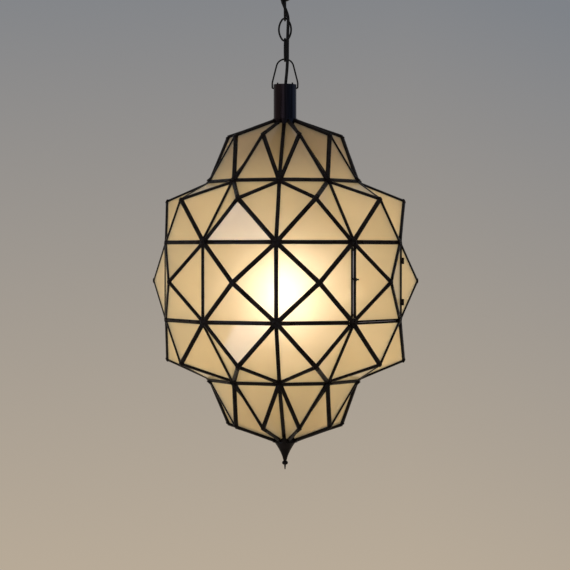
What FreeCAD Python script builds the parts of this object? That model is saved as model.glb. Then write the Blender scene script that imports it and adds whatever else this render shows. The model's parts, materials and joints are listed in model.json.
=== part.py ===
import FreeCAD, Part
import math
import os

Vec = FreeCAD.Vector
UP = Vec(0, 0, 1)
AXIS_FOOT = Vec(0, 0, 0)

# Ceiling fitting
strap_length = 100.0
strap_width = 18.0
strap_thickness = 2.5
screw_spacing = 70.0
screw_hole_diameter = 5.2
rod_diameter = 10.0
rod_bore = 7.4
rod_fit = 0.1
nut_across_flats = 15.0
nut_thickness = 3.0
canopy_diameter = 120.0
canopy_depth = 28.0
canopy_wall = 1.2
ceiling_shadow_gap = 0.5
collar_diameter = 23.0
collar_length = 14.0
collar_thread_depth = 9.0
loop_leg = 18.0
loop_radius = 9.0
loop_wire = 3.5
loop_root = 2.0
wire_way_gap = 0.4

# Chain and bail
link_length = 36.0
link_width = 21.0
link_wire = 2.8
link_end_radius = 5.5
hang_clearance = 0.3
bail_wire = 2.4
bail_crown_radius = 13.0
bail_rise = 43.3
bail_bend_radius = 1.8
bail_stand_off = 0.8
bail_leg_rise = 8.5
bail_knee_radius = 12.0
bail_pin_reach = 5.0
bail_tip_rise = 8.5
pin_fit = 0.12

# Cord, whose points are offsets from the lantern's axis and heights over the bail's pins
cord_diameter = 4.6
cord_fit = 0.1
cord_bend_share = 0.45
cord_cuts = (118.0, 86.8, 56.1, 24.1)
cord_points = (
    (0.0, 0.0, -9.5),
    (0.2, -0.3, 7.5),
    (3.4, -3.7, 28.5),
    (4.7, -4.7, 49.5),
    (4.5, -4.6, 67.5),
    (4.0, -4.9, 79.5),
    (-3.9, -4.9, 100.5),
    (-4.7, -4.7, 118.5),
    (-4.1, -4.9, 132.5),
    (-0.5, -0.7, 147.5),
    (0.0, 0.0, 157.3),
)

# Glass rings, measured at the middle of the glass
cells = 10
star_radius = 85.0
star_height = 213.0
waist_radius = 115.0
waist_height = 144.0
shoulder_radius = 176.5
shoulder_height = 118.0
frame_radius = 179.5
frame_height = 56.4
belt_radius = 196.0
apex_height = 243.0

# Glass and the metal seams that hold it
glass_thickness = 3.0
glass_bed = 0.15
glass_edge_gap = 0.2
crown_lap = 0.25
valley_lap = 0.65
ridge_lap = 1.6
belt_lap = 2.2
ring_lap = 1.4
upright_lap = 1.5
seam_crown = 1.6
heart_half = 0.6
frame_heart_half = 1.3
lump_radius = 7.7
lump_top_radius = 4.0
lump_height = 5.2
lump_foot = 1.6
lump_sides = 5
seam_end_gap = 0.1

# Neck, stem and finial
neck_radius = 17.0
neck_wall = 1.0
neck_length = 68.0
neck_inset = 1.0
bail_hole_drop = 5.5
plate_drop = 24.0
plate_thickness = 2.0
solder_gap = 0.05
ferrule_wall = 1.7
ferrule_length = 18.0
ferrule_above_seam = 4.6
base_floor = 1.5
grommet_height = 3.0
grommet_bevel = 1.0
stem_stub = 6.0
finial_root_radius = 16.0
finial_waist_radius = 3.9
finial_neck_radius = 2.3
finial_bead_radius = 4.45
finial_tip_radius = 1.45
finial_cone = 22.0
finial_cone_sag = 1.1
finial_neck = 6.0
finial_bead_height = 5.8
finial_tip = 7.0
finial_stud_diameter = 6.0
finial_stud_length = 6.5

# Lamp holder and bulb
bulb_radius = 30.0
bulb_length = 107.0
bulb_centre = -25.0
bulb_wall = 0.8
bulb_shoulder_angle = 35.0
bulb_flank_sag = 1.2
bulb_neck_radius = 12.6
screw_base_radius = 13.2
screw_base_length = 21.0
screw_base_taper = 4.0
contact_radius = 5.0
holder_radius = 19.0
holder_wall = 1.8
holder_length = 34.0
holder_cap_length = 24.0
holder_core_thickness = 6.0
thread_shell_wall = 0.7
thread_fit = 0.2

# Door, hinges and latch in one belt cell
door_cell = 1
door_gap = 0.8
hinge_height = 30.0
knuckle_radius = 1.7
knuckle_length = 4.5
knuckle_gap = 0.2
hinge_pin_radius = 0.8
hinge_leaf_width = 4.0
hinge_leaf_thickness = 0.8
hinge_seat_gap = 0.25
latch_rise = 4.0
latch_pivot_offset = 2.0
latch_keeper_offset = 2.2
latch_thickness = 1.2
latch_height = 4.4
latch_end = 1.8
latch_tab_length = 3.6
latch_tab_height = 2.2
latch_hook_end = 1.5
rivet_radius = 0.9
rivet_head_radius = 1.6
rivet_head = 0.6
latch_keeper_radius = 0.8
latch_notch_room = 2.0

# Heights that follow from the sizes above, from the ceiling down
cell_angle = 360.0 / cells
canopy_sphere = ((canopy_diameter / 2) ** 2 + canopy_depth ** 2) / (2 * canopy_depth)
rod_hole = rod_diameter / 2 + rod_fit
collar_top = -canopy_depth - solder_gap
collar_bottom = collar_top - collar_length
loop_bottom = collar_bottom - loop_leg - loop_radius
link_half = link_length / 2 - link_wire / 2
link_3_z = loop_bottom + (loop_wire + link_wire) / 2 + hang_clearance - link_half
link_drop = 2 * link_half - link_wire - hang_clearance
link_2_z = link_3_z - link_drop
link_1_z = link_2_z - link_drop
bail_top = link_1_z - link_half + (link_wire + bail_wire) / 2 + hang_clearance
bail_pin_z = bail_top - bail_rise

# Heights over the belt, from the place where the crown's ridges meet the ferrule
ferrule_radius = neck_radius + solder_gap + ferrule_wall
crown_slope = (apex_height - star_height) / star_radius
ferrule_top = apex_height - crown_slope * ferrule_radius + ferrule_above_seam
ferrule_bottom = ferrule_top - ferrule_length
neck_bottom = ferrule_bottom + neck_inset
neck_top = neck_bottom + neck_length
plate_top = neck_top - plate_drop
belt_z = bail_pin_z - neck_top + bail_hole_drop
glass_half = glass_thickness / 2 + glass_bed


def polar(radius, angle, height):
    turn = math.radians(angle)
    return Vec(radius * math.sin(turn), -radius * math.cos(turn), height)


# General makers of turned, bent and cut pieces
def turned(profile):
    points = [Vec(radius, 0, height) for radius, height in profile]
    face = Part.Face(Part.makePolygon(points + points[:1]))
    return face.revolve(AXIS_FOOT, UP, 360)


def turned_edges(edges):
    return Part.Face(Part.Wire(Part.__sortEdges__(edges))).revolve(AXIS_FOOT, UP, 360)


def line(first, last):
    return Part.LineSegment(Vec(first[0], 0, first[1]), Vec(last[0], 0, last[1])).toShape()


def arc(first, middle, last):
    ends = [Vec(radius, 0, height) for radius, height in (first, middle, last)]
    return Part.Arc(*ends).toShape()


def ring(outer, inner, bottom, top):
    return turned([(inner, bottom), (outer, bottom), (outer, top), (inner, top)])


def rod(radius, bottom, top):
    return Part.makeCylinder(radius, top - bottom, Vec(0, 0, bottom))


def hex_nut(bore, bottom):
    corner = nut_across_flats / 2 / math.cos(math.radians(30))
    points = [polar(corner, 60 * side, bottom) for side in range(6)]
    nut = Part.Face(Part.makePolygon(points + points[:1])).extrude(UP * nut_thickness)
    return nut.cut(rod(bore, bottom, bottom + nut_thickness))


def rounded_path(points, radii):
    edges = []
    start = points[0]
    for before, corner, after, radius in zip(points, points[1:], points[2:], radii):
        into = (corner - before).normalize()
        out = (after - corner).normalize()
        turn = into.getAngle(out)
        reach = radius * math.tan(turn / 2)
        first = corner - into * reach
        last = corner + out * reach
        middle = corner + (out - into).normalize() * (radius / math.cos(turn / 2) - radius)
        edges.append(Part.LineSegment(start, first).toShape())
        edges.append(Part.Arc(first, middle, last).toShape())
        start = last
    edges.append(Part.LineSegment(start, points[-1]).toShape())
    return Part.Wire(edges)


def bent_wire(path, radius):
    first = path.Edges[0]
    start = first.FirstParameter
    section = Part.Wire(Part.makeCircle(radius, first.valueAt(start), first.tangentAt(start)))
    return path.makePipeShell([section], True, False)


def keep_beyond(shape, origin, direction):
    # The part of a shape in front of a plane
    size = 4 * belt_radius
    behind = Part.makeBox(size, size, size, Vec(-size / 2, -size / 2, -size))
    behind.Placement = FreeCAD.Placement(origin, FreeCAD.Rotation(UP, direction))
    return shape.cut(behind)


def turn_about_axis(shape, angle):
    copy = shape.copy()
    copy.rotate(AXIS_FOOT, UP, angle)
    return copy


def round_the_axis(shapes, skip=()):
    return [
        turn_about_axis(shape, cell_angle * cell)
        for cell in range(cells) if cell not in skip
        for shape in shapes
    ]


def below_belt(shapes):
    return [shape.mirror(Vec(0, 0, belt_z), UP) for shape in shapes]


# Ceiling fitting
def mounting_strap():
    strap = Part.makeBox(strap_length, strap_width, strap_thickness,
                         Vec(-strap_length / 2, -strap_width / 2, -strap_thickness))
    strap = strap.cut(rod(rod_hole, -strap_thickness, 0))
    for side in (-1, 1):
        hole = rod(screw_hole_diameter / 2, -strap_thickness, 0)
        strap = strap.cut(hole.translated(Vec(side * screw_spacing / 2, 0, 0)))
    return strap


def dish_height(radius, wall):
    return canopy_sphere - canopy_depth - math.sqrt((canopy_sphere - wall) ** 2 - radius ** 2)


def dish_radius(height, wall):
    return math.sqrt((canopy_sphere - wall) ** 2 - (canopy_sphere - canopy_depth - height) ** 2)


def canopy():
    rim = -ceiling_shadow_gap
    outer_rim = (dish_radius(rim, 0), rim)
    inner_rim = (dish_radius(rim, canopy_wall), rim)
    outer_eye = (rod_hole, dish_height(rod_hole, 0))
    inner_eye = (rod_hole, dish_height(rod_hole, canopy_wall))
    half_way = canopy_diameter / 4
    return turned_edges([
        line(inner_rim, outer_rim),
        arc(outer_rim, (half_way, dish_height(half_way, 0)), outer_eye),
        line(outer_eye, inner_eye),
        arc(inner_eye, (half_way, dish_height(half_way, canopy_wall)), inner_rim),
    ])


def suspension_loop():
    wire_way = cord_diameter / 2 + wire_way_gap
    shoulder = collar_top - collar_thread_depth
    outer = collar_diameter / 2
    collar = turned([
        (rod_hole, collar_top), (outer - loop_wire / 2, collar_top), (outer, shoulder),
        (outer, collar_bottom), (wire_way, collar_bottom), (wire_way, shoulder), (rod_hole, shoulder),
    ])
    root = collar_bottom + loop_root
    arc_centre = collar_bottom - loop_leg
    left_top = Vec(-loop_radius, 0, root)
    left = Vec(-loop_radius, 0, arc_centre)
    right = Vec(loop_radius, 0, arc_centre)
    path = Part.Wire([
        Part.LineSegment(left_top, left).toShape(),
        Part.Arc(left, Vec(0, 0, loop_bottom), right).toShape(),
        Part.LineSegment(right, Vec(loop_radius, 0, root)).toShape(),
    ])
    return collar.fuse(bent_wire(path, loop_wire / 2)).removeSplitter()


# Chain links are ovals of four arcs
def chain_link(centre_z, edge_on):
    half_width = (link_width - link_wire) / 2
    end_centre = link_half - link_end_radius
    side_radius = (half_width ** 2 + end_centre ** 2 - link_end_radius ** 2) / (
        2 * (half_width - link_end_radius))
    lean = math.atan2(end_centre, side_radius - half_width)
    meet_x = link_end_radius * math.cos(lean)
    meet_z = end_centre + link_end_radius * math.sin(lean)

    def at(x, z):
        return Vec(x, 0, centre_z + z)

    path = Part.Wire([
        Part.Arc(at(meet_x, -meet_z), at(half_width, 0), at(meet_x, meet_z)).toShape(),
        Part.Arc(at(meet_x, meet_z), at(0, link_half), at(-meet_x, meet_z)).toShape(),
        Part.Arc(at(-meet_x, meet_z), at(-half_width, 0), at(-meet_x, -meet_z)).toShape(),
        Part.Arc(at(-meet_x, -meet_z), at(0, -link_half), at(meet_x, -meet_z)).toShape(),
    ])
    link = bent_wire(path, link_wire / 2)
    return turn_about_axis(link, 90) if edge_on else link


# The bail is one wire, hooked through the neck from both sides
def bail():
    leg_x = neck_radius + bail_wire / 2 + bail_stand_off
    inner_x = neck_radius - neck_wall - bail_pin_reach
    knee_z = bail_pin_z + bail_leg_rise
    rise = bail_top - bail_crown_radius - knee_z
    lean = math.atan2(leg_x, rise) - math.asin(bail_crown_radius / math.hypot(leg_x, rise))
    peak = knee_z + leg_x / math.tan(lean)
    tip = bail_pin_z + bail_tip_rise
    half = [(inner_x, tip), (inner_x, bail_pin_z), (leg_x, bail_pin_z), (leg_x, knee_z)]
    points = [Vec(x, 0, z) for x, z in half]
    points.append(Vec(0, 0, peak))
    points += [Vec(-x, 0, z) for x, z in reversed(half)]
    side_bends = [bail_bend_radius, bail_bend_radius, bail_knee_radius]
    bends = side_bends + [bail_crown_radius] + side_bends[::-1]
    return bent_wire(rounded_path(points, bends), bail_wire / 2)


# The cord's free run, cut into one stretch for each joint that it passes
def cord_route():
    points = [Vec(x, y, bail_pin_z + height) for x, y, height in cord_points]
    points[-1].z = collar_bottom
    radii = []
    for before, corner, after in zip(points, points[1:], points[2:]):
        turn = (corner - before).getAngle(after - corner)
        shorter = min((corner - before).Length, (after - corner).Length)
        radii.append(cord_bend_share * shorter / math.tan(turn / 2))
    print("cord bend radii", [round(radius, 1) for radius in radii])
    return rounded_path(points, radii)


def cord_stretches():
    path = cord_route()
    tube = bent_wire(path, cord_diameter / 2)
    section = math.pi * cord_diameter ** 2 / 4
    print("cord volume over section times length", round(tube.Volume / (section * path.Length), 4))
    names = ("cord_at_loop", "cord_at_link_3", "cord_at_link_2", "cord_at_link_1", "cord_at_neck")
    heights = [collar_bottom] + [bail_pin_z + cut for cut in cord_cuts] + [bail_pin_z + cord_points[0][2]]
    stretches = {}
    for name, top, bottom in zip(names, heights, heights[1:]):
        width = collar_diameter
        slab = Part.makeBox(2 * width, 2 * width, top - bottom, Vec(-width, -width, bottom))
        stretches[name] = tube.common(slab)
    return stretches


# Corners of the glass, each named by its ring and its step round the axis
RINGS = {
    "apex": (0.0, apex_height, 0.0),
    "star": (star_radius, star_height, 0.5),
    "waist": (waist_radius, waist_height, 0.0),
    "shoulder": (shoulder_radius, shoulder_height, 0.5),
    "frame": (frame_radius, frame_height, 0.0),
    "belt": (belt_radius, 0.0, 0.5),
    "low_frame": (frame_radius, -frame_height, 0.0),
}

FACETS = {
    "crown": (
        (("apex", 0), ("star", 0), ("waist", 0)),
        (("apex", 0), ("star", 0), ("waist", 1)),
        (("star", 0), ("waist", 0), ("waist", 1)),
    ),
    "shoulder": (
        (("waist", 0), ("waist", 1), ("shoulder", 0)),
        (("waist", 0), ("shoulder", 0), ("frame", 0)),
        (("waist", 1), ("shoulder", 0), ("frame", 1)),
        (("shoulder", 0), ("frame", 0), ("frame", 1)),
    ),
    "belt": (
        (("frame", 0), ("frame", 1), ("belt", 0)),
        (("frame", 0), ("belt", 0), ("low_frame", 0)),
        (("frame", 1), ("belt", 0), ("low_frame", 1)),
        (("low_frame", 0), ("low_frame", 1), ("belt", 0)),
    ),
}

# Each seam has its two ends, the far corner of the glass on each side, and its lap over the glass
SEAMS = {
    "crown": (
        (("apex", 0), ("star", 0), ("waist", 0), ("waist", 1), crown_lap),
        (("apex", 0), ("waist", 0), ("star", -1), ("star", 0), valley_lap),
    ),
    "star": (
        (("star", 0), ("waist", 0), ("apex", 0), ("waist", 1), ridge_lap),
        (("star", 0), ("waist", 1), ("apex", 0), ("waist", 0), ridge_lap),
        (("waist", 0), ("waist", 1), ("star", 0), ("shoulder", 0), ring_lap),
    ),
    "shoulder": (
        (("waist", 0), ("shoulder", 0), ("waist", 1), ("frame", 0), ridge_lap),
        (("waist", 1), ("shoulder", 0), ("waist", 0), ("frame", 1), ridge_lap),
        (("waist", 0), ("frame", 0), ("shoulder", -1), ("shoulder", 0), upright_lap),
        (("shoulder", 0), ("frame", 0), ("waist", 0), ("frame", 1), ridge_lap),
        (("shoulder", 0), ("frame", 1), ("waist", 1), ("frame", 0), ridge_lap),
    ),
    "belt": (
        (("frame", 0), ("belt", 0), ("frame", 1), ("low_frame", 0), belt_lap),
        (("frame", 1), ("belt", 0), ("frame", 0), ("low_frame", 1), belt_lap),
        (("low_frame", 0), ("belt", 0), ("low_frame", 1), ("frame", 0), belt_lap),
        (("low_frame", 1), ("belt", 0), ("low_frame", 0), ("frame", 1), belt_lap),
    ),
    "rail": ((("frame", 0), ("frame", 1), ("shoulder", 0), ("belt", 0), ring_lap),),
    "upright": ((("frame", 0), ("low_frame", 0), ("belt", -1), ("belt", 0), upright_lap),),
}
FRAME_SEAMS = ("rail", "upright")


def corner_point(corner):
    name, step = corner
    radius, height, offset = RINGS[name]
    return polar(radius, cell_angle * (step + offset), belt_z + height)


def facet_normal(corners):
    first, second, third = [corner_point(corner) for corner in corners]
    normal = (second - first).cross(third - first).normalize()
    middle = (first + second + third) * (1 / 3) - Vec(0, 0, belt_z)
    return normal if normal.dot(middle) > 0 else normal * -1


def seam_frame(seam):
    # Direction of a seam, the way into the glass on each side, the glass normals and the bend
    start, end, left, right = seam[:4]
    foot = corner_point(start)
    along = (corner_point(end) - foot).normalize()
    inward = []
    normals = []
    for far in (left, right):
        side = corner_point(far) - foot
        inward.append((side - along * side.dot(along)).normalize())
        normals.append(facet_normal((start, end, far)))
    bend = normals[0].getAngle(normals[1])
    is_ridge = inward[0].dot(normals[1]) < 0
    return foot, along, inward, normals, bend, is_ridge


def glass_reach(seam, heart):
    bend = seam_frame(seam)[4]
    return glass_half * math.tan(bend / 2) + heart


def seam_insets():
    insets = {}
    for group, seams in SEAMS.items():
        heart = frame_heart_half if group in FRAME_SEAMS else heart_half
        for seam in seams:
            rings = frozenset((seam[0][0], seam[1][0]))
            insets[rings] = glass_reach(seam, heart) + glass_edge_gap
    insets[frozenset(("low_frame",))] = insets[frozenset(("frame",))]
    return insets


def clip(points, origin, direction, distance):
    # The part of a flat outline in front of a line
    kept = []
    depths = [(point - origin).dot(direction) - distance for point in points]
    for index, point in enumerate(points):
        before = points[index - 1]
        if (depths[index] > 0) != (depths[index - 1] > 0):
            share = depths[index - 1] / (depths[index - 1] - depths[index])
            kept.append(before + (point - before) * share)
        if depths[index] > 0:
            kept.append(point)
    return kept


def pane(corners, insets):
    points = [corner_point(corner) for corner in corners]
    normal = facet_normal(corners)
    outline = list(points)
    for index, here in enumerate(points):
        there = points[index - 1]
        other = points[index - 2]
        along = (there - here).normalize()
        side = other - here
        inward = (side - along * side.dot(along)).normalize()
        inset = insets[frozenset((corners[index][0], corners[index - 1][0]))]
        outline = clip(outline, here, inward, inset)
        halving = (along + side.normalize()).normalize()
        back = lump_radius + glass_edge_gap
        if corners[index][0] == "apex":
            back = (ferrule_radius + glass_edge_gap + glass_thickness / 2) / math.hypot(halving.x, halving.y)
        outline = clip(outline, here, halving, back)
    outline = [point - normal * (glass_thickness / 2) for point in outline]
    return Part.Face(Part.makePolygon(outline + outline[:1])).extrude(normal * glass_thickness)


def seam_section(seam, heart):
    # Crowned outer flange, heart between the panes and, on a ridge, a flat inner flange
    inward, normals, bend, is_ridge = seam_frame(seam)[2:]
    outward = (normals[0] + normals[1]).normalize()
    reach = glass_reach(seam, heart)
    half_width = reach + seam[4]
    crown = outward * (glass_half / math.cos(bend / 2) + seam_crown)
    lips = [inward[side] * half_width + normals[side] * glass_half for side in (0, 1)]
    tops = [inward[side] * reach + normals[side] * glass_half for side in (0, 1)]
    feet = [inward[side] * reach - normals[side] * glass_half for side in (0, 1)]
    inner = []
    if is_ridge:
        inner = [inward[side] * half_width - normals[side] * glass_half for side in (1, 0)]
    return [lips[0], crown, lips[1], tops[1], feet[1]] + inner + [feet[0], tops[0]]


def seam_bar(seam, heart):
    start, end, left, right, lap = seam
    foot, along = seam_frame(seam)[:2]
    half_width = glass_reach(seam, heart) + lap
    length = (corner_point(end) - foot).Length
    back = lump_radius + seam_end_gap
    begin = ferrule_radius / 2 if start[0] == "apex" else back
    outline = [foot + along * begin + point for point in seam_section(seam, heart)]
    bar = Part.Face(Part.makePolygon(outline + outline[:1])).extrude(along * (length - begin - back))
    for tip, way in ((start, along), (end, along * -1)):
        here = corner_point(tip)
        for far in (left, right):
            side = (corner_point(far) - here).normalize()
            halving = (way + side).normalize()
            if half_width + seam_end_gap > lump_radius * math.tan(way.getAngle(side) / 2):
                keep = (way - halving * way.dot(halving)).normalize()
                bar = keep_beyond(bar, here + keep * (seam_end_gap / 2), keep)
    if start[0] == "apex":
        radial = Vec(along.x, along.y, 0).normalize()
        bar = keep_beyond(bar, radial * (ferrule_radius + seam_end_gap), radial)
    return bar


def solder_lump(corner):
    normal = Vec(0, 0, 0)
    for facets in FACETS.values():
        for facet in facets:
            for shift in (-1, 0, 1):
                shifted = tuple((name, step + shift) for name, step in facet)
                if corner in shifted:
                    normal += facet_normal(shifted)
    normal.normalize()
    across = Vec(normal.y, -normal.x, 0).normalize()
    along = normal.cross(across)
    centre = corner_point(corner)
    foot_radius = math.sqrt(lump_radius ** 2 - lump_foot ** 2)

    def corners(radius, height):
        points = []
        for side in range(lump_sides):
            turn = 2 * math.pi * side / lump_sides
            spoke = across * (radius * math.cos(turn)) + along * (radius * math.sin(turn))
            points.append(centre + normal * height + spoke)
        return points

    foot = corners(foot_radius, -lump_foot)
    top = corners(lump_top_radius, lump_height - lump_foot)
    outlines = [foot, top]
    outlines += [[foot[side - 1], foot[side], top[side], top[side - 1]] for side in range(lump_sides)]
    faces = [Part.Face(Part.makePolygon(points + points[:1])) for points in outlines]
    return Part.Solid(Part.Shell(faces))


# The door is one belt cell, parted from its neighbours by planes through the seams
def door_block(clearance):
    first = cell_angle * door_cell
    last = first + cell_angle
    low = -frame_height + clearance
    points = []
    for radius, angle, side in (
        (frame_radius / 2, first, 1), (frame_radius * 2, first, 1),
        (frame_radius * 2, last, -1), (frame_radius / 2, last, -1),
    ):
        sideways = polar(1, angle + 90, 0) * (side * clearance)
        points.append(polar(radius, angle, belt_z + low) + sideways)
    return Part.Face(Part.makePolygon(points + points[:1])).extrude(UP * (-2 * low))


def seam_outer_radius(offset):
    # Distance of the upright's outer face from the axis, at an offset to one side of its middle
    upright = SEAMS["upright"][0]
    half_bend = seam_frame(upright)[4] / 2
    half_width = glass_reach(upright, frame_heart_half) + upright_lap
    crown = glass_half / math.cos(half_bend) + seam_crown
    lip = half_width * math.sin(half_bend) + glass_half * math.cos(half_bend)
    lip_offset = half_width * math.cos(half_bend) - glass_half * math.sin(half_bend)
    return frame_radius + crown - (crown - lip) * offset / lip_offset


def pane_outer_radius(offset):
    # Distance of the pane's outer face from the axis, at an offset to one side of the upright's middle
    half_bend = seam_frame(SEAMS["upright"][0])[4] / 2
    return frame_radius + glass_half / math.cos(half_bend) + offset * math.tan(half_bend)


def hinge_axis_radius():
    return seam_outer_radius(0) + hinge_seat_gap + knuckle_radius


def hinge_half(side, bottom, top):
    # Knuckle and leaf of one hinge half, built at the front of the lantern
    axis = hinge_axis_radius()
    leaf_bottom = seam_outer_radius(0) + solder_gap
    barrel = Part.makeCylinder(knuckle_radius, top - bottom, Vec(0, -axis, bottom))
    start = 0 if side > 0 else -hinge_leaf_width
    leaf = Part.makeBox(hinge_leaf_width, hinge_leaf_thickness, top - bottom,
                        Vec(start, -leaf_bottom - hinge_leaf_thickness, bottom))
    bore = Part.makeCylinder(hinge_pin_radius + pin_fit, top - bottom, Vec(0, -axis, bottom))
    return barrel.fuse(leaf).cut(bore).removeSplitter()


def hinges():
    angle = cell_angle * (door_cell + 1)
    body_halves, door_halves, pins = [], [], []
    for side in (-1, 1):
        middle = belt_z + side * hinge_height
        lower = (middle - knuckle_length - knuckle_gap / 2, middle - knuckle_gap / 2)
        upper = (middle + knuckle_gap / 2, middle + knuckle_length + knuckle_gap / 2)
        body_halves.append(turn_about_axis(hinge_half(1, *lower), angle))
        door_halves.append(turn_about_axis(hinge_half(-1, *upper), angle))
        pin = Part.makeCylinder(hinge_pin_radius, upper[1] - lower[0],
                                Vec(0, -hinge_axis_radius(), lower[0]))
        pins.append(turn_about_axis(pin, angle))
    return body_halves, door_halves, pins


def latch_parts():
    # A drop hook with a thumb tab on the door and its keeper stud, built at the front of the lantern
    latch_z = belt_z + latch_rise
    tab_reach = latch_pivot_offset + latch_end + latch_tab_length
    bottom = max(seam_outer_radius(0), pane_outer_radius(tab_reach)) + hinge_seat_gap
    top = bottom + latch_thickness
    outward = Vec(0, -1, 0)

    def peg(radius, x, low, high):
        return Part.makeCylinder(radius, high - low, Vec(x, -low, latch_z), outward)

    pivot = latch_pivot_offset
    keeper = -latch_keeper_offset
    hook_wall = keeper - 2 * latch_keeper_radius
    hook_x = hook_wall - latch_hook_end
    plate = Part.makeBox(pivot + latch_end - hook_x, latch_thickness, latch_height,
                         Vec(hook_x, -top, latch_z - latch_height / 2))
    tab = Part.makeBox(latch_tab_length, latch_thickness, latch_tab_height,
                       Vec(pivot + latch_end, -top, latch_z - latch_tab_height / 2))
    notch_near = keeper + latch_notch_room
    notch = Part.makeBox(notch_near - hook_wall, 2 * latch_thickness,
                         latch_height / 2 + latch_keeper_radius + hinge_seat_gap,
                         Vec(hook_wall, -top - latch_thickness / 2, latch_z - latch_height / 2))
    hook = plate.fuse(tab).removeSplitter().cut(notch)
    hook = hook.cut(peg(rivet_radius + pin_fit, pivot, bottom, top))
    rivet_foot = seam_outer_radius(pivot - rivet_radius) + solder_gap
    rivet_top = top + hinge_seat_gap
    rivet = peg(rivet_radius, pivot, rivet_foot, rivet_top)
    rivet = rivet.fuse(peg(rivet_head_radius, pivot, rivet_top, rivet_top + rivet_head)).removeSplitter()
    stud_foot = seam_outer_radius(latch_keeper_offset - latch_keeper_radius) + solder_gap
    stud = peg(latch_keeper_radius, keeper, stud_foot, top)
    angle = cell_angle * door_cell
    return [turn_about_axis(shape, angle) for shape in (hook, rivet, stud)]


# Glass, seams and solder of the whole lantern, with the door's share kept apart
def lantern_shell():
    insets = seam_insets()
    panes = {group: [pane(facet, insets) for facet in facets] for group, facets in FACETS.items()}
    bars = {}
    for group, seams in SEAMS.items():
        heart = frame_heart_half if group in FRAME_SEAMS else heart_half
        bars[group] = [seam_bar(seam, heart) for seam in seams]
    upper_lumps = [solder_lump((name, 0)) for name in ("star", "waist", "shoulder")]
    frame_lump = solder_lump(("frame", 0))
    belt_lump = solder_lump(("belt", 0))

    frame_bars = bars["rail"] + below_belt(bars["rail"])
    frame_lumps = [frame_lump] + below_belt([frame_lump])
    first = cell_angle * door_cell
    last = first + cell_angle
    door_bars = [turn_about_axis(bar, first) for bar in frame_bars]
    door_bars += [turn_about_axis(bar, angle) for bar in bars["upright"] for angle in (first, last)]
    door_lumps = [turn_about_axis(lump, angle) for lump in frame_lumps for angle in (first, last)]
    inside = door_block(door_gap / 2)
    outside = door_block(-door_gap / 2)
    beside = (door_cell, door_cell + 1)
    door_only = (door_cell,)

    nodes = {}
    for name, side in (("upper", list), ("lower", below_belt)):
        nodes[name + "_crown_panes"] = round_the_axis(side(panes["crown"]))
        nodes[name + "_shoulder_panes"] = round_the_axis(side(panes["shoulder"]))
        nodes[name + "_crown_seams"] = round_the_axis(side(bars["crown"]))
        nodes[name + "_star_seams"] = round_the_axis(side(bars["star"]))
        nodes[name + "_shoulder_seams"] = round_the_axis(side(bars["shoulder"]))
        nodes[name + "_solder_joints"] = round_the_axis(side(upper_lumps))
    nodes["belt_panes"] = round_the_axis(panes["belt"], door_only)
    nodes["belt_ridge_seams"] = round_the_axis(bars["belt"], door_only)
    nodes["belt_ring_seams"] = round_the_axis(frame_bars, door_only)
    nodes["belt_ring_seams"] += [bar.cut(outside) for bar in door_bars[:2]]
    nodes["belt_upright_seams"] = round_the_axis(bars["upright"], beside)
    nodes["belt_upright_seams"] += [bar.cut(outside) for bar in door_bars[2:]]
    nodes["belt_solder_joints"] = round_the_axis([belt_lump], door_only) + round_the_axis(frame_lumps, beside)
    nodes["belt_solder_joints"] += [lump.cut(outside) for lump in door_lumps]
    nodes["door_panes"] = [turn_about_axis(shape, first) for shape in panes["belt"]]
    nodes["door_ridge_seams"] = [turn_about_axis(shape, first) for shape in bars["belt"]]
    nodes["door_frame"] = [bar.common(inside) for bar in door_bars]
    nodes["door_solder_joints"] = [turn_about_axis(belt_lump, first)]
    nodes["door_solder_joints"] += [lump.common(inside) for lump in door_lumps]
    return nodes


# Neck, stem and lamp holder
def neck_tube():
    tube = ring(neck_radius, neck_radius - neck_wall, belt_z + neck_bottom, belt_z + neck_top)
    hole = Part.makeCylinder(bail_wire / 2 + pin_fit, 4 * neck_radius,
                             Vec(-2 * neck_radius, 0, bail_pin_z), Vec(1, 0, 0))
    return tube.cut(hole)


def bulb_outline(inward, seal):
    # Round end and drawn-in neck of the bulb, at a depth below its outer face
    radius = bulb_radius - inward

    def round_end(angle):
        turn = math.radians(angle)
        return radius * math.cos(turn), belt_z + bulb_centre + radius * math.sin(turn)

    shoulder = round_end(bulb_shoulder_angle)
    neck = (bulb_neck_radius - inward, seal)
    flank = ((shoulder[0] + neck[0]) / 2 - bulb_flank_sag, (shoulder[1] + neck[1]) / 2)
    pole = round_end(-90)
    return pole, neck, [
        arc(pole, round_end((bulb_shoulder_angle - 90) / 2), shoulder),
        arc(shoulder, flank, neck),
    ]


def bulb_glass(seal):
    pole, neck, outside = bulb_outline(0, seal)
    inner_pole, inner_neck, inside = bulb_outline(bulb_wall, seal)
    return turned_edges(outside + inside + [line(neck, inner_neck), line(inner_pole, pole)])


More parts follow.
